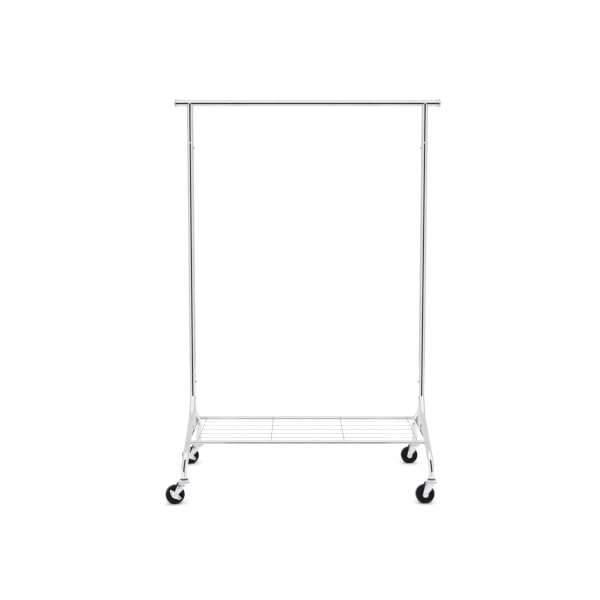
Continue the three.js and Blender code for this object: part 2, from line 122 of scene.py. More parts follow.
class Nodes:
    """A material's node tree, with short calls for the nodes used here."""

    def __init__(self, name):
        self.material = bpy.data.materials.new(name)
        self.material.use_nodes = True
        self.tree = self.material.node_tree
        self.shader = self.tree.nodes["Principled BSDF"]

    def add(self, kind, **values):
        node = self.tree.nodes.new(kind)
        for key, value in values.items():
            setattr(node, key, value)
        return node

    def link(self, output, socket):
        self.tree.links.new(output, socket)

    def noise(self, scale, detail=3.0, roughness=0.5):
        """Noise in object coordinates, in metres, so that its grain has a real size."""
        coordinates = self.add("ShaderNodeTexCoord")
        texture = self.add("ShaderNodeTexNoise")
        texture.inputs["Scale"].default_value = scale
        texture.inputs["Detail"].default_value = detail
        texture.inputs["Roughness"].default_value = roughness
        self.link(coordinates.outputs["Object"], texture.inputs["Vector"])
        return texture.outputs["Fac"]

    def spread(self, value, low, high, start=0.3, end=0.7):
        """The value, moved from start..end to low..high."""
        node = self.add("ShaderNodeMapRange")
        node.inputs["From Min"].default_value = start
        node.inputs["From Max"].default_value = end
        node.inputs["To Min"].default_value = low
        node.inputs["To Max"].default_value = high
        self.link(value, node.inputs["Value"])
        return node.outputs["Result"]

    def blend(self, factor, first, second):
        node = self.add("ShaderNodeMix", data_type="RGBA")
        node.inputs["A"].default_value = (*first, 1)
        node.inputs["B"].default_value = (*second, 1)
        self.link(factor, node.inputs["Factor"])
        return node.outputs["Result"]

    def bump(self, height, distance, under=None):
        node = self.add("ShaderNodeBump")
        node.inputs["Distance"].default_value = distance
        self.link(height, node.inputs["Height"])
        if under is not None:
            self.link(under, node.inputs["Normal"])
        return node.outputs["Normal"]


def chrome(name, tint, low_rough, high_rough, ripple):
    """Bright plating: a near mirror, with faint orange peel, hazy patches and handling marks."""
    nodes = Nodes(name)
    nodes.shader.inputs["Metallic"].default_value = 1.0
    haze = nodes.noise(26, detail=5)
    dulled = tuple(0.96 * value for value in tint)
    nodes.link(nodes.blend(nodes.spread(haze, 0, 1), tint, dulled), nodes.shader.inputs["Base Color"])
    nodes.link(nodes.spread(haze, low_rough, high_rough), nodes.shader.inputs["Roughness"])
    peel = nodes.bump(nodes.noise(160, detail=2), ripple)
    marks = nodes.bump(nodes.noise(900, detail=4), ripple * 0.12, under=peel)
    nodes.link(marks, nodes.shader.inputs["Normal"])
    return nodes.material


def zinc(name, tint, low_rough, high_rough):
    """Plated pressed steel: a soft bluish sheen with a crystalline mottle and a fine grain."""
    nodes = Nodes(name)
    nodes.shader.inputs["Metallic"].default_value = 1.0
    coordinates = nodes.add("ShaderNodeTexCoord")
    crystals = nodes.add("ShaderNodeTexVoronoi")
    crystals.inputs["Scale"].default_value = 420
    nodes.link(coordinates.outputs["Object"], crystals.inputs["Vector"])
    mottle = nodes.add("ShaderNodeSeparateColor")
    nodes.link(crystals.outputs["Color"], mottle.inputs["Color"])
    dulled = tuple(0.95 * value for value in tint)
    nodes.link(nodes.blend(mottle.outputs["Red"], tint, dulled), nodes.shader.inputs["Base Color"])
    wear = nodes.noise(140, detail=6)
    nodes.link(nodes.spread(wear, low_rough, high_rough), nodes.shader.inputs["Roughness"])
    grain = nodes.bump(nodes.noise(2200, detail=3), 0.000012)
    dents = nodes.bump(nodes.noise(120, detail=2), 0.00006, under=grain)
    nodes.link(dents, nodes.shader.inputs["Normal"])
    return nodes.material


def rubber(name):
    """Hard black rubber: satin, with a fine moulded skin and a trace of dust."""
    nodes = Nodes(name)
    nodes.shader.inputs["Specular IOR Level"].default_value = 0.16
    dust = nodes.spread(nodes.noise(90, detail=6, roughness=0.62), 0, 1, 0.5, 0.85)
    nodes.link(nodes.blend(dust, (0.0025, 0.0025, 0.003), (0.009, 0.009, 0.009)),
               nodes.shader.inputs["Base Color"])
    nodes.link(nodes.spread(nodes.noise(300, detail=4), 0.38, 0.6), nodes.shader.inputs["Roughness"])
    skin = nodes.bump(nodes.noise(1800, detail=4), 0.00003)
    scuffs = nodes.bump(nodes.noise(260, detail=5), 0.00008, under=skin)
    nodes.link(scuffs, nodes.shader.inputs["Normal"])
    return nodes.material


def nylon(name):
    """Black moulded nylon, with a faint spark-eroded texture."""
    nodes = Nodes(name)
    nodes.link(nodes.blend(nodes.noise(200, detail=3), (0.016, 0.016, 0.018), (0.03, 0.03, 0.032)),
               nodes.shader.inputs["Base Color"])
    nodes.link(nodes.spread(nodes.noise(700, detail=3), 0.42, 0.6), nodes.shader.inputs["Roughness"])
    nodes.link(nodes.bump(nodes.noise(2600, detail=2), 0.00002), nodes.shader.inputs["Normal"])
    return nodes.material


LOOKS = {
    "chrome_tube": chrome("chrome_tube", (0.69, 0.695, 0.705), 0.03, 0.085, 0.000012),
    "chrome_cap": chrome("chrome_cap", (0.66, 0.665, 0.68), 0.06, 0.14, 0.00002),
    "chrome_wire": chrome("chrome_wire", (0.74, 0.745, 0.755), 0.1, 0.18, 0.00002),
    "zinc_plate": zinc("zinc_plate", (0.72, 0.725, 0.76), 0.2, 0.32),
    "spring_steel": zinc("spring_steel", (0.55, 0.56, 0.58), 0.22, 0.36),
    "rubber_wheel": rubber("rubber_wheel"),
    "nylon_socket": nylon("nylon_socket"),
}


# ---- Mesh helpers ----------------------------------------------------------------------------

class Shape:
    """Vertices and faces of one piece, in millimetres."""

    def __init__(self):
        self.points = []
        self.faces = []

    def loft(self, rings, wrap=False):
        """Joins rings of points. A ring of one point is a pole; with wrap the last ring meets the first."""
        starts = []
        for ring in rings:
            starts.append(len(self.points))
            self.points.extend(ring)
        pairs = list(zip(range(len(rings) - 1), range(1, len(rings))))
        if wrap:
            pairs.append((len(rings) - 1, 0))
        for a, b in pairs:
            count = max(len(rings[a]), len(rings[b]))
            for i in range(count):
                j = (i + 1) % count
                near = [starts[a]] if len(rings[a]) == 1 else [starts[a] + i, starts[a] + j]
                far = [starts[b]] if len(rings[b]) == 1 else [starts[b] + j, starts[b] + i]
                self.faces.append(near + far)
        return self

    def add(self, other):
        start = len(self.points)
        self.points.extend(other.points)
        self.faces.extend([index + start for index in face] for face in other.faces)
        return self

    def move(self, matrix):
        self.points = [matrix @ Vector(point) for point in self.points]
        return self


def to_mesh(name, shape):
    mesh = bpy.data.meshes.new(name)
    mesh.from_pydata([Vector(point) * MM for point in shape.points], [], shape.faces)
    solid = bmesh.new()
    solid.from_mesh(mesh)
    bmesh.ops.recalc_face_normals(solid, faces=solid.faces)
    solid.to_mesh(mesh)
    solid.free()
    return mesh


def to_object(name, shape):
    piece = bpy.data.objects.new(name, to_mesh(name, shape))
    bpy.context.scene.collection.objects.link(piece)
    return piece


def settle(piece):
    """Makes the piece's modifiers part of its mesh."""
    depsgraph = bpy.context.evaluated_depsgraph_get()
    depsgraph.update()
    mesh = bpy.data.meshes.new_from_object(piece.evaluated_get(depsgraph))
    piece.modifiers.clear()
    piece.data = mesh


def combine(piece, tool_shape, operation):
    """Cuts, joins or keeps what the piece shares with a tool."""
    tool = to_object("tool", tool_shape)
    modifier = piece.modifiers.new("combine", "BOOLEAN")
    modifier.operation = operation
    modifier.solver = "EXACT"
    modifier.object = tool
    settle(piece)
    bpy.data.objects.remove(tool)


def merge(piece, other):
    """Adds the other object's mesh to the piece and removes the other."""
    joined = bmesh.new()
    joined.from_mesh(piece.data)
    joined.from_mesh(other.data)
    joined.to_mesh(piece.data)
    joined.free()
    bpy.data.objects.remove(other)


def soften(piece, width, segments):
    """Rounds the edges of a pressing."""
    modifier = piece.modifiers.new("soften", "BEVEL")
    modifier.width = width * MM
    modifier.segments = segments
    modifier.limit_method = "ANGLE"
    modifier.angle_limit = math.radians(40)
    settle(piece)


def move_mesh(piece, place):
    """Moves a mesh that is already in metres by a place drawn in millimetres."""
    scaled = place.copy()
    scaled.translation = place.translation * MM
    piece.data.transform(scaled)


def finish_piece(piece, slot, body, nodes=(), crease=38):
    """Shades the piece, gives it its material and hangs it on its body."""
    piece.data.shade_smooth()
    piece.data.set_sharp_from_angle(angle=math.radians(crease))
    piece.data.materials.clear()
    piece.data.materials.append(LOOKS[slot])
    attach(piece, body)
    if nodes:
        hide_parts(*nodes)


def add_piece(name, shape, slot, body, nodes=(), crease=38):
    finish_piece(to_object(name, shape), slot, body, nodes, crease)


def filleted(profile, closed=False, steps=4):
    """A profile of (radius, height) or (radius, height, fillet): each fillet rounds that corner."""
    out = []
    count = len(profile)
    for i, point in enumerate(profile):
        has_corner = closed or 0 < i < count - 1
        if len(point) < 3 or not has_corner:
            out.append(tuple(point[:2]))
            continue
        here = Vector(point[:2])
        before = Vector(profile[i - 1][:2]) - here
        after = Vector(profile[(i + 1) % count][:2]) - here
        reach = min(point[2], before.length * 0.49, after.length * 0.49)
        start = here + before.normalized() * reach
        end = here + after.normalized() * reach
        for k in range(steps + 1):
            t = k / steps
            spot = start * (1 - t) ** 2 + here * 2 * t * (1 - t) + end * t ** 2
            out.append((spot.x, spot.y))
    return out


def turned(profile, sides, closed=False):
    """A turned shape about Z. A height can be a function of the angle and the radius."""
    rings = []
    for radius, height in profile:
        if radius < 1e-6:
            rings.append([Vector((0, 0, height))])
            continue
        ring = []
        for i in range(sides):
            angle = TAU * i / sides
            z = height(angle, radius) if callable(height) else height
            ring.append(Vector((radius * math.cos(angle), radius * math.sin(angle), z)))
        rings.append(ring)
    return Shape().loft(rings, wrap=closed)


def plug(radius, length):
    """A plain round cutter on z = 0."""
    return turned([(0, 0), (radius, 0), (radius, length), (0, length)], 32)


def blob(size, rows, columns, unevenness=0.0, seed=0):
    """A ball or squashed ball about the origin, with the half sizes given and a little lumpy."""
    rng = random.Random(seed)
    rings = [[Vector((0, 0, -size.z))]]
    for row in range(1, rows):
        tilt = math.pi * row / rows
        ring = []
        for i in range(columns):
            angle = TAU * i / columns
            reach = math.sin(tilt) * (1 + rng.uniform(-unevenness, unevenness))
            ring.append(Vector((size.x * reach * math.cos(angle), size.y * reach * math.sin(angle),
                                -size.z * math.cos(tilt))))
        rings.append(ring)
    rings.append([Vector((0, 0, size.z))])
    return Shape().loft(rings)


def prism(outline, depth):
    """An outline of (x, y) points, extruded along Z from 0 to depth."""
    count = len(outline)
    shape = Shape()
    shape.points = [Vector((x, y, z)) for z in (0, depth) for x, y in outline]
    shape.faces = [list(range(count)), list(range(count, 2 * count))]
    for i in range(count):
        j = (i + 1) % count
        shape.faces.append([i, j, count + j, count + i])
    return shape


def arc(x, y, radius, start, end, steps):
    return [(x + radius * math.cos(start + (end - start) * k / steps),
             y + radius * math.sin(start + (end - start) * k / steps)) for k in range(steps + 1)]


ALONG_X = Matrix.Rotation(math.pi / 2, 4, "Y")
ALONG_Y = Matrix.Rotation(-math.pi / 2, 4, "X")
UPRIGHT = Matrix.Rotation(math.pi / 2, 4, "X")  # stands an (x, y) outline up in the XZ plane


def meet(origin, direction, axis_point, axis, radius):
    """How far along a line it first meets a round bar, or comes closest to its axis if it misses."""
    across = direction - axis * direction.dot(axis)
    offset = origin - axis_point
    offset = offset - axis * offset.dot(axis)
    a = across.length_squared
    b = 2 * across.dot(offset)
    c = offset.length_squared - radius ** 2
    inside = b * b - 4 * a * c
    return (-b - math.sqrt(max(inside, 0))) / (2 * a)


def bead(loop, radius, seed, scales):
    """A weld bead round a closed loop: a lumpy rope whose ripples lie across it like scales."""
    rng = random.Random(seed)
    count = len(loop)
    middle = sum(loop, Vector()) / count
    wobble = [rng.uniform(-0.05, 0.05) for _ in range(12)]
    sides = 10
    rings = []
    for i, here in enumerate(loop):
        ahead = (loop[(i + 1) % count] - loop[i - 1]).normalized()
        outward = (here - middle).normalized()
        across = ahead.cross(outward).normalized()
        outward = across.cross(ahead).normalized()
        share = i / count
        ripple = 1 + 0.16 * abs(math.sin(math.pi * scales * share)) + wobble[int(share * len(wobble))]
        ring = []
        for k in range(sides):
            angle = TAU * k / sides
            ring.append(here + radius * ripple * (outward * math.cos(angle) + across * math.sin(angle)))
        rings.append(ring)
    return Shape().loft(rings, wrap=True)


# ---- Hang bar, uprights and posts ------------------------------------------------------------

def make_hang_bar():
    """A plain tube with softly deburred ends."""
    rim = 0.35
    length = 2 * BAR_HALF
    profile = [(BORE_R, 0, rim), (TUBE_R, 0, rim), (TUBE_R, length, rim), (BORE_R, length, rim)]
    shape = turned(filleted(profile, closed=True, steps=3), TUBE_SIDES, closed=True)
    shape.move(Matrix.Translation((-BAR_HALF, 0, BAR_Z)) @ ALONG_X)
    add_piece("hang_bar_tube", shape, "chrome_tube", ROOT, ["hang_bar"])


def make_end_cap(side):
    """A pressed cap: a short sleeve on the bar, a rolled flange and a slightly domed face."""
    low, high = node_box(f"bar_end_cap_{side}")
    length = high.x - low.x
    flange_r = (high.z - low.z) / 2
    flange_t = 5.0
    sleeve_r = 14.2
    face_t = 2.0
    bore_r = TUBE_R + SEAM_GAP
    profile = filleted([
        (0, -0.5),
        (flange_r - 4.5, -0.9, 2.0),
        (flange_r - 3.2, 0, 1.0),
        (flange_r, 0, 1.9),
        (flange_r, -flange_t, 1.6),
        (sleeve_r, -flange_t, 0.9),
        (sleeve_r, -length, 0.5),
        (bore_r, -length, 0.2),
        (bore_r, -face_t, 0.3),
        (0, -face_t),
    ], steps=5)
    shape = turned(profile, TUBE_SIDES)
    outward = SIDES[side]
    outer_face = high.x if outward > 0 else -low.x
    shape.move(Matrix.Rotation(0 if outward > 0 else math.pi, 4, "Z")
               @ Matrix.Translation((outer_face, 0, BAR_Z)) @ ALONG_X)
    add_piece(f"bar_end_cap_{side}_pressed", shape, "chrome_cap", ROOT, [f"bar_end_cap_{side}"])


def necked_profile(top, seam_z, neck_bottom):
    """A full-size tube whose lower end is necked down over a smooth shoulder."""
    shoulder = 3.0
    return [
        (NECK_BORE_R, neck_bottom, 0.3),
        (NECK_R, neck_bottom, 0.5),
        (NECK_R, seam_z, 0.2),
        (NECK_R + 0.2, seam_z + SEAM_GAP, 0.1),
        (TUBE_R, seam_z + SEAM_GAP, SEAM_ROUND),
        (TUBE_R, seam_z + 16),
        (TUBE_R, top),
        (BORE_R, top),
        (BORE_R, seam_z + SEAM_GAP + 2 * shoulder, 1.0),
        (NECK_BORE_R, seam_z + SEAM_GAP + shoulder, 1.0),
    ]


def at_post(side):
    return Matrix.Translation((SIDES[side] * POST_X, 0, 0))


def with_rows(profile, heights, radius):
    """Adds rows to the long wall of a profile at this radius, so that a hole there has small faces."""
    out = []
    for i, point in enumerate(profile):
        out.append(point)
        following = profile[(i + 1) % len(profile)]
        if abs(point[0] - radius) < 1e-6 and abs(following[0] - radius) < 1e-6:
            low, high = sorted((point[1], following[1]))
            rows = [height for height in heights if low < height < high]
            out.extend((radius, height) for height in sorted(rows, reverse=point[1] > following[1]))
    return out


def hole_rows(z):
    return [z - 12, z - 6, z + 6, z + 12]


def button_height(level, side):
    return node_box(f"snap_button_{level}_{side}")[1].z - BUTTON_R


def drill(piece, side, z):
    """A button hole through the wall that faces the middle of the rack."""
    inward = -SIDES[side]
    tool = turned([(0, 0), (BUTTON_HOLE_R, 0), (BUTTON_HOLE_R, 2 * TUBE_R), (0, 2 * TUBE_R)], 40)
    tool.move(at_post(side) @ Matrix.Translation((0, 0, z)) @ Matrix.Rotation(inward * math.pi / 2, 4, "Y"))
    combine(piece, tool, "DIFFERENCE")


def ring_weld(name, side, height, radius, seed, scales, count):
    """A bead round a post, where height says how high it lies at each angle."""
    loop = []
    for i in range(count):
        angle = TAU * i / count
        spot = Vector((TUBE_R * math.cos(angle), TUBE_R * math.sin(angle), height(angle)))
        loop.append(at_post(side) @ spot)
    add_piece(f"{name}_{side}", bead(loop, radius, seed + SIDES[side], scales), "chrome_tube", ROOT)


def under_bar(angle, radius):
    """The height at which the stub's wall meets the hang bar."""
    return BAR_Z - math.sqrt(TUBE_R ** 2 - min(radius, TUBE_R) ** 2 * math.sin(angle) ** 2) + 0.4


def round_side_bar(angle, radius):
    """The height at which the base post's wall meets the side bar."""
    offset = radius * math.cos(angle)
    rise = math.sqrt(max(SIDE_BAR_R ** 2 - offset ** 2, 0))
    return max(post_low.z, FRAME_Z + rise - 0.3)


def make_stub(side):
    profile = filleted(necked_profile(0, UPPER_SEAM_Z, STUB_BOTTOM_Z), closed=True, steps=3)
    profile = [(radius, under_bar if z == 0 else z) for radius, z in profile]
    piece = to_object(f"bar_stub_{side}_tube", turned(profile, TUBE_SIDES, closed=True).move(at_post(side)))
    drill(piece, side, button_height("upper", side))
    finish_piece(piece, "chrome_tube", ROOT, [f"bar_stub_{side}"])


def make_upright(side):
    upper = button_height("upper", side)
    lower = button_height("lower", side)
    profile = necked_profile(UPPER_SEAM_Z, LOWER_SEAM_Z, upright_low.z)
    profile = [(*point, SEAM_ROUND) if point == (TUBE_R, UPPER_SEAM_Z) else point for point in profile]
    profile = filleted(profile, closed=True, steps=3)
    for radius, z in ((TUBE_R, upper), (BORE_R, upper), (NECK_R, lower), (NECK_BORE_R, lower)):
        profile = with_rows(profile, hole_rows(z), radius)
    piece = to_object(f"upright_{side}_tube", turned(profile, TUBE_SIDES, closed=True).move(at_post(side)))
    drill(piece, side, upper)
    drill(piece, side, lower)
    finish_piece(piece, "chrome_tube", ROOT, [f"upright_{side}"])


def make_base_post(side):
    """A tube whose lower end is cut to sit on the side bar."""
    lower = button_height("lower", side)
    rows = [*hole_rows(lower), 390, 350, 310, 275]  # round the hole, then evenly down the wall
    foot = -1
    profile = filleted([(BORE_R, foot), (TUBE_R, foot), (TUBE_R, LOWER_SEAM_Z, SEAM_ROUND),
                        (BORE_R, LOWER_SEAM_Z, 0.45)], closed=True, steps=3)
    top = [(radius, z) for radius, z in profile if z != foot]
    outer = [(TUBE_R, z) for z in sorted(rows)]
    inner = [(BORE_R, z) for z in sorted(rows, reverse=True)]
    profile = [(BORE_R, round_side_bar), (TUBE_R, round_side_bar), *outer, *top, *inner]
    piece = to_object(f"base_post_{side}_tube", turned(profile, TUBE_SIDES, closed=True).move(at_post(side)))
    drill(piece, side, lower)
    finish_piece(piece, "chrome_tube", ROOT, [f"base_post_{side}"])


def make_post_welds(side):
    ring_weld("stub_weld", side, lambda angle: under_bar(angle, TUBE_R) - 0.6,
              radius=1.7, seed=3, scales=30, count=96)
    ring_weld("post_weld", side, lambda angle: max(round_side_bar(angle, TUBE_R), FRAME_Z + 4),
              radius=1.2, seed=7, scales=26, count=72)


# ---- Snap buttons ----------------------------------------------------------------------------

ARM_X = 8.4
SPRING_T = 0.8
SPRING_W = 8.0
LIVE_ARM_DROP = 30.0
SPRING_DROP = 44.0


def strip(path, width, thickness):
    """A flat strip along a path of (x, z) points, in the plane y = 0, with rounded long edges."""
    section = []
    for i in range(16):
        angle = TAU * i / 16
        across = width / 2 - thickness / 2
        y = math.copysign(across, math.sin(angle)) + thickness / 2 * math.sin(angle)
        section.append((thickness / 2 * math.cos(angle), y))
    rings = []
    for i, here in enumerate(path):
        before = Vector(path[max(i - 1, 0)])
        after = Vector(path[min(i + 1, len(path) - 1)])
        along = (after - before).normalized()
        normal = Vector((along.y, -along.x))
        rings.append([Vector((here[0] + normal.x * n, y, here[1] + normal.y * n)) for n, y in section])
    first = sum(rings[0], Vector()) / len(section)
    last = sum(rings[-1], Vector()) / len(section)
    return Shape().loft([[first], *rings, [last]])


def make_snap_joint(level, side):
    """The button with its live arm, and the still arm and bend of the same spring."""
    inward = Matrix.Rotation(0 if SIDES[side] < 0 else math.pi, 4, "Z")
    place = at_post(side) @ Matrix.Translation((0, 0, button_height(level, side))) @ inward
    low, high = node_box(f"snap_button_{level}_{side}")
    tip = max(abs(low.x - SIDES[side] * POST_X), abs(high.x - SIDES[side] * POST_X))
    peg = turned(filleted([
        (0, ARM_X - SPRING_T),
        (BUTTON_R, ARM_X - SPRING_T, 0.2),
        (BUTTON_R, tip, 2.2),
        (0, tip),
    ], steps=8), 36).move(ALONG_X)
    middle = ARM_X - SPRING_T / 2
    arm = strip([(middle, 3.6), (middle, 2), (middle, -12), (middle, -LIVE_ARM_DROP)], SPRING_W, SPRING_T)
    body = f"button_{level}_{side}"
    add_piece(f"snap_button_{level}_{side}_peg", peg.add(arm).move(place), "spring_steel", body,
              [f"snap_button_{level}_{side}"])
    still_x = -middle
    bend_r = middle - 1
    bend_x = still_x + bend_r
    bend_z = -SPRING_DROP + bend_r + SPRING_T / 2
    path = [(still_x, 4.0), (still_x, -10.0), *arc(bend_x, bend_z, bend_r, math.pi, TAU, 12),
            (bend_x + bend_r, -LIVE_ARM_DROP - 0.5)]
    add_piece(f"snap_spring_{level}_{side}_strip", strip(path, SPRING_W, SPRING_T).move(place),
              "spring_steel", ROOT, [f"snap_spring_{level}_{side}"])


# ---- Legs ------------------------------------------------------------------------------------

Stretch = namedtuple("Stretch", "length out z lean curvature")


def along_stretch(stretch, distance):
    """Where the path is, and its lean, at a distance along a stretch."""
    lean, curvature = stretch.lean, stretch.curvature
    if curvature == 0:
        return stretch.out + distance * math.sin(lean), stretch.z - distance * math.cos(lean), lean
    new_lean = lean + curvature * distance
    out = stretch.out + (math.cos(lean) - math.cos(new_lean)) / curvature
    z = stretch.z - (math.sin(new_lean) - math.sin(lean)) / curvature
    return out, z, new_lean


def leg_stretches():
    """The path as straight runs and bends, from the post down to the foot."""
    stretches = []
    here = [LEG_START_OUT, LEG_START_Z, UPPER_LEAN]

    def run(length, curvature):
        stretches.append(Stretch(length, *here, curvature))
        here[:] = along_stretch(stretches[-1], length)

    run(UPPER_RUN, 0)
    run((LOWER_LEAN - UPPER_LEAN) * SWEEP_R, 1 / SWEEP_R)
    knee_reach = KNEE_R * (math.cos(FOOT_LEAN) - math.cos(LOWER_LEAN))
    foot_reach = FOOT_RUN * math.sin(FOOT_LEAN) + ANKLE_R * (1 - math.cos(FOOT_LEAN))
    run((FOOT_REACH - foot_reach - knee_reach - here[0]) / math.sin(LOWER_LEAN), 0)
    run((LOWER_LEAN - FOOT_LEAN) * KNEE_R, -1 / KNEE_R)
    run(FOOT_RUN, 0)
    run(FOOT_LEAN * ANKLE_R, -1 / ANKLE_R)
    run(here[1] - LEG_BOTTOM_Z, 0)
    return stretches


STRETCHES = leg_stretches()
LOWER_RUN = STRETCHES[2]
LEG_LENGTH = sum(stretch.length for stretch in STRETCHES)


def eased_out(z):
    """How far the foot has eased outwards at a height."""
    share = min(max((EASE_TOP_Z - z) / (EASE_TOP_Z - EASE_BOTTOM_Z), 0), 1)
    return FOOT_OUT * share * share * (3 - 2 * share)


def leg_point(distance, angle, radius, outward):
    """A point on the surface of a rear leg whose post is at x = 0 and whose foot eases to outward."""
    rest = distance
    for stretch in STRETCHES:
        if rest <= stretch.length or stretch is STRETCHES[-1]:
            break
        rest -= stretch.length
    out, z, lean = along_stretch(stretch, rest)
    lift = radius * math.sin(angle)
    across = radius * math.cos(angle) + outward * eased_out(z)
    return Vector((across, out + lift * math.cos(lean), z + lift * math.sin(lean)))


def leg_place(end, side):
    """A front leg is a rear leg turned half round."""
    turn = math.pi if ENDS[end] < 0 else 0
    return at_post(side) @ Matrix.Rotation(turn, 4, "Z")


def leg_top(angle, radius):
    """Where a line along the leg leaves the post's surface."""
    inside = max(TUBE_R ** 2 - (radius * math.cos(angle)) ** 2, 0)
    start = LEG_START_OUT + radius * math.sin(angle) * math.cos(UPPER_LEAN)
    return (math.sqrt(inside) - start) / math.sin(UPPER_LEAN)


def make_leg(end, side):
    """A swept tube, cut at the top to the post's surface and rounded over at the foot."""
    place = leg_place(end, side)
    outward = SIDES[side] * ENDS[end]
    rows = 120
    sink = 0.8
    angles = [TAU * i / TUBE_SIDES for i in range(TUBE_SIDES)]

    def ring(share, radius, pull=0.0):
        out = []
        for angle in angles:
            top = leg_top(angle, TUBE_R) - sink
            out.append(leg_point(top + (LEG_LENGTH - pull - top) * share, angle, radius, outward))
        return out

    rim, bore_rim = 0.5, 0.2
    rings = [ring(i / rows, TUBE_R, rim) for i in range(rows + 1)]
    rings.append(ring(1, TUBE_R - rim * 0.3, rim * 0.3))
    rings += [ring(1, TUBE_R - rim), ring(1, BORE_R + bore_rim)]
    rings += [ring(i / rows, BORE_R, bore_rim) for i in range(rows, -1, -1)]
    shape = Shape().loft(rings, wrap=True).move(place)
    add_piece(f"leg_{end}_{side}_tube", shape, "chrome_tube", ROOT, [f"leg_{end}_{side}"])
    loop = []
    for i in range(120):
        angle = TAU * i / 120
        loop.append(place @ leg_point(leg_top(angle, TUBE_R) + 0.2, angle, TUBE_R - 0.5, outward))
    add_piece(f"leg_weld_{end}_{side}", bead(loop, 1.3, 11 + SIDES[side] + 4 * ENDS[end], 44),
              "chrome_tube", ROOT)


def lower_run_axis(end, side):
    """A point on, and the direction of, the leg's straight lower run."""
    place = leg_place(end, side)
    point = place @ Vector((0, LOWER_RUN.out, LOWER_RUN.z))
    ahead = place.to_3x3() @ Vector((0, math.sin(LOWER_RUN.lean), -math.cos(LOWER_RUN.lean)))
    return point, ahead.normalized()


def coped_bar(node, start, direction, radius, first, last, seed):
    """A thin tube through start, coped at both ends against the legs, with a weld bead at each end."""
    up = Vector((0, 0, 1))
    across = direction.cross(up).normalized()
    angles = [TAU * i / THIN_SIDES for i in range(THIN_SIDES)]
    offsets = [across * math.cos(angle) + up * math.sin(angle) for angle in angles]

    def end_ring(ring_radius, leg, towards, sink):
        axis_point, axis = lower_run_axis(*leg)
        out = []
        for offset in offsets:
            origin = start + offset * ring_radius
            reach = meet(origin, direction * towards, axis_point, axis, TUBE_R)
            out.append(origin + direction * towards * (reach + sink))
        return out

    rings = []
    outer = (end_ring(radius, first, -1, 0.5), end_ring(radius, last, 1, 0.5))
    bore_r = radius - THIN_WALL
    inner = (end_ring(bore_r, last, 1, 0.5), end_ring(bore_r, first, -1, 0.5))
    rows = 8
    for near, far in (outer, inner):
        for row in range(rows + 1):
            rings.append([a.lerp(b, row / rows) for a, b in zip(near, far)])
    add_piece(f"{node}_tube", Shape().loft(rings, wrap=True), "chrome_tube", ROOT, [node])
    for number, (leg, towards) in enumerate(((first, -1), (last, 1))):
        loop = end_ring(radius, leg, towards, -0.2)
        add_piece(f"{node}_weld_{number + 1}", bead(loop, 1.25, seed + number, 20), "chrome_tube", ROOT)


def make_bars():
    for side in SIDES:
        start = Vector((SIDES[side] * POST_X, 0, FRAME_Z))
        coped_bar(f"side_bar_{side}", start, Vector((0, 1, 0)), SIDE_BAR_R,
                  ("front", side), ("rear", side), 31 + SIDES[side])
    for end in ENDS:
        start = Vector((0, ENDS[end] * RAIL_Y, FRAME_Z))
        coped_bar(f"shelf_rail_{end}", start, Vector((1, 0, 0)), RAIL_R,
                  (end, "left"), (end, "right"), 41 + ENDS[end])


# ---- Wire shelf ------------------------------------------------------------------------------

def wire(length):
    """A drawn wire on z = 0 with rounded cut ends, very slightly out of true."""
    rings = [[Vector((0, 0, 0))]]
    rounding = 1.2
    near_end = [rounding / 8, rounding / 2, rounding]
    rows = 24
    stations = [*near_end, *[length * k / rows for k in range(1, rows)],
                *[length - distance for distance in reversed(near_end)]]
    for z in stations:
        edge = min(z, length - z)
        radius = WIRE_R * (math.sqrt(min(edge / rounding, 1)) * 0.35 + 0.65)
        bow = 0.18 * math.sin(math.pi * z / length)
        ring = [Vector((radius * math.cos(TAU * i / WIRE_SIDES) + bow,
                        radius * math.sin(TAU * i / WIRE_SIDES), z)) for i in range(WIRE_SIDES)]
        rings.append(ring)
    rings.append([Vector((0, 0, length))])
    return Shape().loft(rings)


def spot_weld(spot, size, seed):
    """A squashed, slightly uneven nugget, with the half sizes given."""
    return blob(size, 6, 12, unevenness=0.06, seed=seed).move(Matrix.Translation(spot))


def make_shelf():
    crosses = [node_box(f"shelf_cross_wire_{i}") for i in range(1, 5)]
    longs = [node_box(f"shelf_long_wire_{i}") for i in range(1, 6)]
    welds = Shape()
    for i, (low, high) in enumerate(crosses):
        middle = (low + high) / 2
        shape = wire(high.y - low.y).move(Matrix.Translation((middle.x, low.y, middle.z)) @ ALONG_Y)
        add_piece(f"shelf_cross_wire_{i + 1}_drawn", shape, "chrome_wire", ROOT,
                  [f"shelf_cross_wire_{i + 1}"])
        for end in ENDS:
            spot = Vector((middle.x, ENDS[end] * (RAIL_Y - RAIL_R + 1.2), middle.z - 0.6))
            welds.add(spot_weld(spot, Vector((3.2, 2.4, 2.4)), 60 + 2 * i + ENDS[end]))
    for i, (low, high) in enumerate(longs):
        middle = (low + high) / 2
        shape = wire(high.x - low.x).move(Matrix.Translation((low.x, middle.y, middle.z)) @ ALONG_X)
        add_piece(f"shelf_long_wire_{i + 1}_drawn", shape, "chrome_wire", ROOT,
                  [f"shelf_long_wire_{i + 1}"])
        for k, (cross_low, cross_high) in enumerate(crosses):
            spot = Vector(((cross_low.x + cross_high.x) / 2, middle.y, middle.z + WIRE_R))
            welds.add(spot_weld(spot, Vector((2.3, 2.3, 1.1)), 80 + 5 * i + k))
    add_piece("shelf_spot_welds", welds, "chrome_wire", ROOT)


# ---- Casters. Each is drawn with its swivel axis on z and its wheel trailing towards -X ------

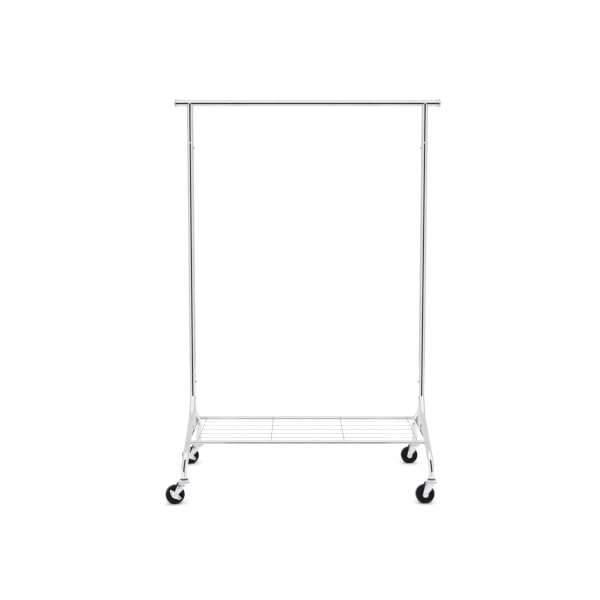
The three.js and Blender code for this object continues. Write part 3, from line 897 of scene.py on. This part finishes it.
STEM_R = 5.5
COLLAR_R = 13.6
COLLAR_T = 3.0
KINGPIN_R = 4.0
RIVET_R = 7.5
RACE_R = 20.0
RACE_TOP_Z = LEG_BOTTOM_Z - 3.6
CROWN_TOP_Z = node_box("caster_front_left_fork")[1].z
RACE_BOTTOM_Z = CROWN_TOP_Z + 1.0
CROWN_T = 2.2
CROWN_R = 23.0
BALL_R = 2.8
BALL_CIRCLE_R = 13.0
BALL_COUNT = 14
PLATE_T = 2.2
PLATE_OUT_Y = 16.8
BOSS_R = 10.5
AXLE_R = 4.0
AXLE_HOLE_R = AXLE_R + 0.3
WASHER_R = 7.0
WASHER_T = 0.9
HUB_HALF = 13.8
TREAD_HALF = 12.0
LEVER_T = 2.0
PLAY = 0.3


def make_fork(label, body, place, trail, axle_z):
    """One pressing: a channel with rounded shoulders, cut to the side outline, under a dished crown."""
    top = CROWN_TOP_Z - CROWN_T + 1
    shoulder = 5.0

    def half_section(inset):
        corner = arc(-PLATE_OUT_Y + shoulder, top - shoulder, shoulder - inset, math.pi, math.pi / 2, 8)
        half = [(-PLATE_OUT_Y + inset, axle_z - 14), *corner]
        return half + [(-x, y) for x, y in reversed(half)]

    # The channel runs along X, and the cheeks' outline then trims it
    channel = prism(half_section(0) + half_section(PLATE_T)[::-1], 80)
    channel.move(Matrix.Translation((-60, 0, 0)) @ Matrix.Rotation(math.pi / 2, 4, "Z")
                 @ Matrix.Rotation(math.pi / 2, 4, "X"))
    piece = to_object(f"{label}_fork_pressed", channel)
    outline = [
        (-20, top + 1),
        (13, top + 1),
        *arc(9, top - 5, 4, 0.3, -0.3, 3),
        *arc(-trail, axle_z, BOSS_R, 0.42, -math.pi - 0.1, 26),
        *arc(-23.5, top - 8, 3.5, math.pi * 0.95, math.pi * 0.6, 6),
    ]
    cheeks = prism(outline, 60).move(Matrix.Translation((0, 30, 0)) @ UPRIGHT)
    combine(piece, cheeks, "INTERSECT")
    hole = plug(AXLE_HOLE_R, 60).move(Matrix.Translation((-trail, -30, axle_z)) @ ALONG_Y)
    combine(piece, hole, "DIFFERENCE")
    seat = plug(RIVET_R + 0.7, 24).move(Matrix.Translation((0, 0, top - 12)))
    combine(piece, seat, "DIFFERENCE")
    soften(piece, 0.6, segments=3)
    crown = turned(filleted([
        (KINGPIN_R + 0.3, CROWN_TOP_Z - CROWN_T, 0.3),
        (CROWN_R - 4.2, CROWN_TOP_Z - CROWN_T, 1.4),
        (CROWN_R - 1.7, CROWN_TOP_Z - CROWN_T - 2.2, 1.0),
        (CROWN_R - 1.7, CROWN_TOP_Z - 6.5, 0.3),
        (CROWN_R, CROWN_TOP_Z - 6.5, 0.5),
        (CROWN_R, CROWN_TOP_Z - 2.6, 1.4),
        (CROWN_R - 3, CROWN_TOP_Z, 1.2),
        (BALL_CIRCLE_R + 4, CROWN_TOP_Z, 0.6),
        (BALL_CIRCLE_R, CROWN_TOP_Z - 0.7, 1.6),
        (BALL_CIRCLE_R - 4, CROWN_TOP_Z, 0.6),
        (KINGPIN_R + 0.3, CROWN_TOP_Z, 0.3),
    ], closed=True, steps=4), 64, closed=True)
    merge(piece, to_object("crown", crown))
    move_mesh(piece, place)
    finish_piece(piece, "zinc_plate", body, [f"{label}_fork"], crease=30)


def make_stem(label, place):
    """The still half: the kingpin, upper race and stem in one piece, and the socket round the stem."""
    top = node_box(f"{label}_stem")[1].z
    rivet_top = CROWN_TOP_Z - CROWN_T - PLAY
    stem = turned(filleted([
        (0, rivet_top - 3.0),
        (5.0, rivet_top - 3.0, 1.2),
        (RIVET_R, rivet_top - 1.4, 1.2),
        (RIVET_R, rivet_top, 0.3),
        (KINGPIN_R, rivet_top, 0.2),
        (KINGPIN_R, RACE_TOP_Z - 2.4, 0.6),
        (BALL_CIRCLE_R - 3, RACE_TOP_Z - 2.6, 1.5),
        (RACE_R - 2.2, RACE_TOP_Z - 3.6, 1.2),
        (RACE_R - 1.6, RACE_BOTTOM_Z, 0.3),
        (RACE_R, RACE_BOTTOM_Z, 0.5),
        (RACE_R, RACE_TOP_Z - 2.2, 1.6),
        (RACE_R - 3.2, RACE_TOP_Z - 0.3, 1.4),
        (BALL_CIRCLE_R + 0.5, RACE_TOP_Z - 1.0, 1.6),
        (STEM_R + 3.5, RACE_TOP_Z, 1.4),
        (STEM_R, RACE_TOP_Z, 0.2),
        (STEM_R, top, 1.6),
        (0, top),
    ], steps=5), 56)
    add_piece(f"{label}_stem_turned", stem.move(place), "zinc_plate", ROOT, [f"{label}_stem"])
    socket_top = node_box(f"{label}_socket")[1].z
    socket_r = BORE_R - 1.0
    collar_top = LEG_BOTTOM_Z - SEAM_GAP
    collar_bottom = collar_top - COLLAR_T
    socket = turned(filleted([
        (STEM_R + PLAY, collar_bottom, 0.3),
        (COLLAR_R, collar_bottom, 0.8),
        (COLLAR_R, collar_top, 0.6),
        (socket_r, collar_top, 0.2),
        (socket_r, socket_top, 1.0),
        (STEM_R + PLAY, socket_top, 0.3),
    ], closed=True, steps=4), 56, closed=True)
    add_piece(f"{label}_socket_moulded", socket.move(place), "nylon_socket", ROOT, [f"{label}_socket"])


def make_balls(label, body, place):
    size = (BALL_R - 0.05) * Vector((1, 1, 1))
    shape = Shape()
    for i in range(BALL_COUNT):
        angle = TAU * i / BALL_COUNT
        spot = (BALL_CIRCLE_R * math.cos(angle), BALL_CIRCLE_R * math.sin(angle), CROWN_TOP_Z + PLAY + BALL_R)
        shape.add(blob(size, 10, 18).move(Matrix.Translation(spot)))
    add_piece(f"{label}_ball_set", shape.move(place), "zinc_plate", body, [f"{label}_balls"])


def make_wheel(label, body, place, trail, axle_z):
    """A solid rubber wheel: crowned tread, moulded side rings, a sunk web and a raised hub."""
    radius = axle_z - 0.03
    half = [
        (AXLE_HOLE_R, 0),
        (AXLE_HOLE_R, HUB_HALF, 0.5),
        (9.6, HUB_HALF, 0.9),
        (11.2, 9.4, 1.2),
        (22.5, 8.4, 1.2),
        (24.5, TREAD_HALF - 0.6, 0.8),
        (26.2, TREAD_HALF, 0.6),
        (31.4, TREAD_HALF, 0.5),
        (31.9, TREAD_HALF - 0.7, 0.3),
        (32.9, TREAD_HALF - 0.7, 0.3),
        (33.4, TREAD_HALF - 0.1, 0.4),
        (35.2, TREAD_HALF - 0.4, 1.4),
        (radius - 0.25, TREAD_HALF - 3.2, 2.2),
        (radius, 4.0, 2.0),
        (radius, 0),
    ]
    outer = filleted(half, steps=5)
    profile = outer + [(r, -y) for r, y in outer[-2:0:-1]]
    wheel = turned(profile, 112, closed=True).move(ALONG_Y)
    wheel.move(place @ Matrix.Translation((-trail, 0, axle_z)))
    add_piece(f"{label}_wheel_rubber", wheel, "rubber_wheel", body, [f"{label}_wheel"], crease=50)


def hexagon_head(radius, height):
    """A hexagon with its foot on z = 0 and its top edge chamfered round."""
    sides = 48
    rings = [[Vector((0, 0, 0))]]
    for z, chamfered in ((0, False), (height - 0.9, False), (height, True)):
        ring = []
        for i in range(sides):
            angle = TAU * i / sides
            flat = math.cos(math.pi / 6) / math.cos((angle % (math.pi / 3)) - math.pi / 6)
            reach = radius * (0.86 if chamfered else flat)
            ring.append(Vector((reach * math.cos(angle), reach * math.sin(angle), z)))
        rings.append(ring)
    rings.append([Vector((0, 0, height))])
    return Shape().loft(rings)


def round_head():
    """A low domed head with its foot on z = 0."""
    return turned(filleted([(0, 0), (5.4, 0, 0.1), (5.4, 1.0, 0.8), (3.6, 2.2, 1.4), (0, 2.3)], steps=5), 40)


def make_axle(label, body, place, trail, axle_z, braked):
    """The pin with a washer and a head at each end; the braked casters have a bolt outside the lever."""
    near = PLATE_OUT_Y + PLAY + (LEVER_T + PLAY if braked else 0)
    far = PLATE_OUT_Y + PLAY
    pin = [(0, -near - 1), (AXLE_R, -near - 1, 0.2), (AXLE_R, far + 1, 0.2), (0, far + 1)]
    washer = [(AXLE_R, 0, 0.1), (WASHER_R, 0, 0.2), (WASHER_R, WASHER_T, 0.3), (AXLE_R, WASHER_T, 0.1)]
    shape = turned(filleted(pin), 40).move(ALONG_Y)
    for y, outward in ((-near, -1), (far, 1)):
        turn = Matrix.Rotation(outward * -math.pi / 2, 4, "X")
        ring = turned(filleted(washer, closed=True), 40, closed=True)
        shape.add(ring.move(Matrix.Translation((0, y, 0)) @ turn))
        head = hexagon_head(6.2, 2.2) if braked and outward < 0 else round_head()
        shape.add(head.move(Matrix.Translation((0, y + outward * WASHER_T, 0)) @ turn))
    shape.move(place @ Matrix.Translation((-trail, 0, axle_z)))
    add_piece(f"{label}_axle_pin", shape, "zinc_plate", body, [f"{label}_axle"], crease=28)


def make_lever(label, body, place, trail, axle_z):
    """Brake lever: a pressed plate on the axle, with a slot, a small hole and a turned-out pedal lip."""
    corners = [(-22, 16, 3.5), (-12, -7, 6), (14, -17, 1.6), (22, -11, 1.6), (5, 10, 5), (-21, 26, 2.6)]
    outline = filleted(corners, closed=True, steps=6)
    piece = to_object(f"{label}_lever_pressed", prism(outline, LEVER_T).move(UPRIGHT))
    lip = prism([(14.2, -16.3), (20.6, -11.5), (19.5, -10.1), (13.2, -14.9)], 7.0).move(UPRIGHT)
    combine(piece, lip, "UNION")
    for x, z, radius in ((0, 0, AXLE_HOLE_R), (-15.5, 15.5, 2.0)):
        hole = plug(radius, 20).move(Matrix.Translation((x, -10, z)) @ ALONG_Y)
        combine(piece, hole, "DIFFERENCE")
    slot = prism([*arc(0, 3.0, 1.5, 0, math.pi, 8), *arc(0, -3.0, 1.5, math.pi, TAU, 8)], 20)
    slot.move(Matrix.Translation((12.6, 10, -7.2)) @ Matrix.Rotation(math.radians(-30), 4, "Y") @ UPRIGHT)
    combine(piece, slot, "DIFFERENCE")
    soften(piece, 0.45, segments=2)
    move_mesh(piece, place @ Matrix.Translation((-trail, -PLATE_OUT_Y - PLAY, axle_z)))
    finish_piece(piece, "zinc_plate", body, [f"{label}_brake_lever"], crease=30)


def make_caster(end, side):
    """One caster, turned and placed by its swivel and roll joints; some have a brake."""
    label = f"caster_{end}_{side}"
    swivel = JOINTS[f"{end}_{side}_swivel"]
    roll = JOINTS[f"{end}_{side}_roll"]
    brake = JOINTS.get(f"{end}_{side}_brake")
    foot = Vector(swivel["pos_m"]) / MM
    axle = Vector(roll["pos_m"]) / MM
    foot.z = 0
    trail = (axle - foot).to_2d().length
    turn = math.atan2(-roll["axis"][0], roll["axis"][1])
    still = Matrix.Translation(foot)
    place = still @ Matrix.Rotation(turn, 4, "Z")
    make_stem(label, still)
    make_balls(label, swivel["child"], place)
    make_fork(label, swivel["child"], place, trail, axle.z)
    make_axle(label, swivel["child"], place, trail, axle.z, brake is not None)
    make_wheel(label, roll["child"], place, trail, axle.z)
    if brake:
        make_lever(label, brake["child"], place, trail, axle.z)


# ---- Studio ----------------------------------------------------------------------------------

def make_camera():
    data = bpy.data.cameras.new("camera")
    data.sensor_width = 36
    data.lens = 55.0
    data.shift_x = 0.003
    data.shift_y = -0.06
    camera = bpy.data.objects.new("camera", data)
    camera.location = (-0.0378, -3.788, 1.261)
    camera.rotation_euler = (math.radians(84.93), 0, 0)
    bpy.context.scene.collection.objects.link(camera)
    bpy.context.scene.camera = camera


def make_floor():
    """A pale floor. In front of the feet it ends far enough out that they reflect it low down and show
    the studio's dark gap above. Between them it ends sooner, so that the shelf reflects more of the gap."""
    front, recess, back = -800, -430, 2430
    reach, notch = 1600, 365
    shape = Shape()
    for left, right, near in ((-reach, -notch, front), (-notch, notch, recess), (notch, reach, front)):
        start = len(shape.points)
        shape.points += [(left, near, 0), (right, near, 0), (right, back, 0), (left, back, 0)]
        shape.faces.append([start, start + 1, start + 2, start + 3])
    floor = to_object("floor", shape)
    nodes = Nodes("floor")
    nodes.shader.inputs["Base Color"].default_value = (0.95, 0.95, 0.95, 1)
    nodes.shader.inputs["Roughness"].default_value = 0.9
    nodes.shader.inputs["Specular IOR Level"].default_value = 0.1
    floor.data.materials.append(nodes.material)


def make_world():
    """A white studio, brightest in front, with greyer sides and a dark gap in front and behind that
    puts the thin dark line on each tube. The camera itself sees plain white."""
    world = bpy.data.worlds.new("studio")
    bpy.context.scene.world = world
    world.use_nodes = True
    tree = world.node_tree
    tree.nodes.clear()

    def add(kind, **values):
        node = tree.nodes.new(kind)
        for key, value in values.items():
            setattr(node, key, value)
        return node

    def calc(operation, first, second=0.0):
        node = add("ShaderNodeMath", operation=operation)
        for socket, value in zip(node.inputs, (first, second)):
            if isinstance(value, (int, float)):
                socket.default_value = value
            else:
                tree.links.new(value, socket)
        return node.outputs[0]

    def ramp(value, start, end, low, high):
        node = add("ShaderNodeMapRange", interpolation_type="SMOOTHSTEP")
        for name, number in (("From Min", start), ("From Max", end), ("To Min", low), ("To Max", high)):
            node.inputs[name].default_value = number
        tree.links.new(value, node.inputs["Value"])
        return node.outputs["Result"]

    def background():
        node = add("ShaderNodeBackground")
        node.inputs["Color"].default_value = (1, 1, 1, 1)
        return node

    coordinates = add("ShaderNodeTexCoord")
    split = add("ShaderNodeSeparateXYZ")
    tree.links.new(coordinates.outputs["Generated"], split.inputs["Vector"])
    x, y, z = split.outputs
    front_light = ramp(y, -0.4, -0.1, 1.3, 0.97)
    gap_across = ramp(calc("ABSOLUTE", x), 0.43, 0.54, 1.0, 0.0)
    gap_up = calc("MULTIPLY", ramp(z, -0.84, -0.74, 0.0, 1.0), ramp(z, 0.13, 0.24, 1.0, 0.0))
    gap_ends = ramp(calc("ABSOLUTE", y), 0.1, 0.3, 0.0, 1.0)
    gap = calc("MULTIPLY", calc("MULTIPLY", gap_across, gap_up), gap_ends)
    light = calc("MULTIPLY", front_light, ramp(gap, 0.0, 1.0, 1.0, 0.015))
    sides = ramp(calc("ABSOLUTE", x), 0.8, 0.95, 1.0, 0.82)
    studio = background()
    tree.links.new(calc("MULTIPLY", light, sides), studio.inputs["Strength"])
    plain = background()
    plain.inputs["Strength"].default_value = 1.05
    path = add("ShaderNodeLightPath")
    mix = add("ShaderNodeMixShader")
    tree.links.new(path.outputs["Is Camera Ray"], mix.inputs["Fac"])
    tree.links.new(studio.outputs["Background"], mix.inputs[1])
    tree.links.new(plain.outputs["Background"], mix.inputs[2])
    output = add("ShaderNodeOutputWorld")
    tree.links.new(mix.outputs["Shader"], output.inputs["Surface"])


def make_light():
    """A broad soft light above the front of the rack, which the plating doesn't reflect."""
    data = bpy.data.lights.new("overhead", "AREA")
    data.size = 5.0
    data.energy = 60
    light = bpy.data.objects.new("overhead", data)
    light.location = (0, -0.4, 4.2)
    light.rotation_euler = (-light.location).to_track_quat("-Z", "Y").to_euler()
    light.visible_glossy = False
    bpy.context.scene.collection.objects.link(light)


def make_studio():
    bpy.context.scene.view_settings.view_transform = "Standard"
    make_camera()
    make_floor()
    make_world()
    make_light()


# ---- The rack --------------------------------------------------------------------------------

make_studio()
make_hang_bar()
for side_name in SIDES:
    make_end_cap(side_name)
    make_stub(side_name)
    make_upright(side_name)
    make_base_post(side_name)
    make_post_welds(side_name)
    for level_name in ("upper", "lower"):
        make_snap_joint(level_name, side_name)
    for end_name in ENDS:
        make_leg(end_name, side_name)
        make_caster(end_name, side_name)
make_bars()
make_shelf()
